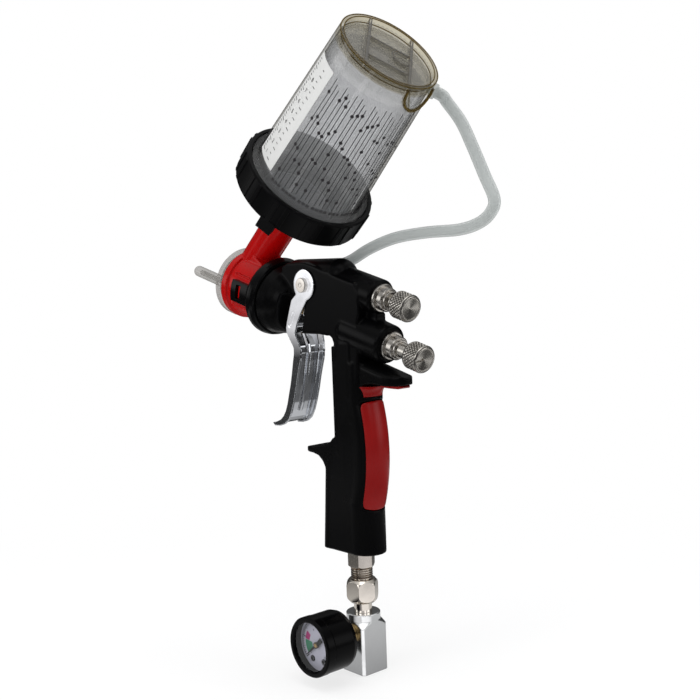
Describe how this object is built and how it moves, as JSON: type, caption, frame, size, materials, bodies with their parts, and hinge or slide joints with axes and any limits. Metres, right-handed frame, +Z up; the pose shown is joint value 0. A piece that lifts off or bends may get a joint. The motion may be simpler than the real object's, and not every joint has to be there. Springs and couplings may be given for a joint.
{
  "type": "HVLP spray gun",
  "caption": "Gravity-feed HVLP paint spray gun with trigger, fluid and fan knobs, hard clear cup with liner, air hose and inlet pressure gauge.",
  "frame": {"origin": "centre of the air inlet, on the bottom face of the gauge block", "axes": "+Z up the air line along the handle, +X the spray direction, +Y the side the gauge faces"},
  "size_m": [0.2447, 0.0939, 0.4206],
  "materials": {
    "body_black": "satin",
    "nose_black": "satin",
    "grip_red": "soft satin",
    "nickel": "nickel plate, bright",
    "chrome": "polished",
    "block_chrome": "bright plate",
    "gauge_black": "semi gloss",
    "gauge_glass": "clear",
    "dial_white": "printed",
    "pointer_black": "matte",
    "brass": "turned",
    "steel": "ground",
    "white_plastic": "matte",
    "seal_rubber": "satin",
    "head_red": "gloss",
    "cap_clear": "translucent",
    "collar_black": "satin",
    "lid_black": "satin",
    "liner_clear": "translucent",
    "cup_clear": "clear",
    "sheet_print": "printed film",
    "label_white": "printed",
    "hose_clear": "translucent satin"
  },
  "bodies": {
    "inlet": {"gauge_block": "block_chrome", "swivel_tail": "nickel", "gauge_stem": "brass", "gauge_case": "gauge_black", "gauge_bezel": "gauge_black", "gauge_lens": "gauge_glass", "gauge_dial": "dial_white", "gauge_tube": "brass"},
    "pointer": {"gauge_pointer": "pointer_black"},
    "nut": {"swivel_nut": "nickel"},
    "gun": {"gun_body": "body_black", "nose_ring": "nose_black", "grip_pad": "grip_red", "grip_band": "grip_red", "tang_pad": "grip_red", "inlet_fitting": "nickel", "trigger_pin": "chrome", "pin_clip": "steel", "needle_spring": "steel", "needle_seal": "white_plastic", "valve_seat": "white_plastic", "valve_spring": "steel", "valve_guide": "brass", "fluid_bush": "nickel", "fan_bush": "nickel", "head_body": "head_red", "head_oring": "seal_rubber", "fluid_nozzle": "steel", "cup_lid": "lid_black", "cup_filter": "white_plastic", "cup_liner": "liner_clear", "hard_cup": "cup_clear", "mix_sheet": "sheet_print", "cup_label": "label_white", "cup_port": "white_plastic", "hose": "hose_clear", "hose_elbow": "nickel"},
    "trigger": {"trigger": "chrome"},
    "needle": {"needle": "steel"},
    "air_valve": {"valve_sleeve": "brass"},
    "fluid_screw": {"spring_guide": "steel"},
    "fluid_knob": {"fluid_knob": "nickel"},
    "fan_screw": {"fan_needle": "steel"},
    "fan_knob": {"fan_knob": "nickel"},
    "air_cap": {"air_cap": "cap_clear"},
    "collar": {"cup_collar": "collar_black"}
  },
  "joints": [
    {"name": "inlet_swivel", "type": "hinge", "parent": "inlet", "child": "gun", "pos_m": [0, 0, 0.05], "axis": [0, 0, 1], "continuous": true},
    {"name": "nut_turn", "type": "hinge", "parent": "gun", "child": "nut", "pos_m": [0, 0, 0.0536], "axis": [0, 0, 1], "continuous": true},
    {"name": "pointer_turn", "type": "hinge", "parent": "inlet", "child": "pointer", "pos_m": [0, 0.041, 0.0265], "axis": [0, 1, 0], "range_deg": [-270, 0]},
    {"name": "trigger_pull", "type": "hinge", "parent": "gun", "child": "trigger", "pos_m": [0.03318, 0, 0.25457], "axis": [0, 1, 0], "range_deg": [0, 18]},
    {"name": "needle_pull", "type": "slide", "parent": "gun", "child": "needle", "axis": [0.9659, 0, 0.2588], "range_m": [-0.0055, 0], "deforming": ["needle_spring"]},
    {"name": "air_valve_pull", "type": "slide", "parent": "gun", "child": "air_valve", "axis": [0.9659, 0, 0.2588], "range_m": [-0.0065, 0], "deforming": ["valve_spring"]},
    {"name": "fluid_travel", "type": "slide", "parent": "gun", "child": "fluid_screw", "axis": [-0.9659, 0, -0.2588], "range_m": [0, 0.003], "deforming": ["needle_spring"]},
    {"name": "fluid_knob_turn", "type": "hinge", "parent": "fluid_screw", "child": "fluid_knob", "pos_m": [-0.05796, 0, 0.21027], "axis": [-0.9659, 0, -0.2588], "range_deg": [0, 1080]},
    {"name": "fan_travel", "type": "slide", "parent": "gun", "child": "fan_screw", "axis": [-0.9659, 0, -0.2588], "range_m": [0, 0.0025]},
    {"name": "fan_knob_turn", "type": "hinge", "parent": "fan_screw", "child": "fan_knob", "pos_m": [-0.04753, 0, 0.24091], "axis": [-0.9659, 0, -0.2588], "range_deg": [0, 900]},
    {"name": "air_cap_turn", "type": "hinge", "parent": "gun", "child": "air_cap", "pos_m": [0.11591, 0, 0.25686], "axis": [0.9659, 0, 0.2588], "range_deg": [-90, 90]},
    {"name": "collar_turn", "type": "hinge", "parent": "gun", "child": "collar", "pos_m": [0.04336, 0, 0.31981], "axis": [-0.7547, 0, 0.6561], "range_deg": [0, 60]}
  ],
  "couplings": [
    {"joint": "needle_pull", "follows": "trigger_pull", "m_per_rad": -0.0165},
    {"joint": "air_valve_pull", "follows": "trigger_pull", "m_per_rad": -0.0197},
    {"joint": "fluid_knob_turn", "follows": "fluid_travel", "rad_per_m": 6283.2},
    {"joint": "fan_knob_turn", "follows": "fan_travel", "rad_per_m": 6283.2}
  ]
}
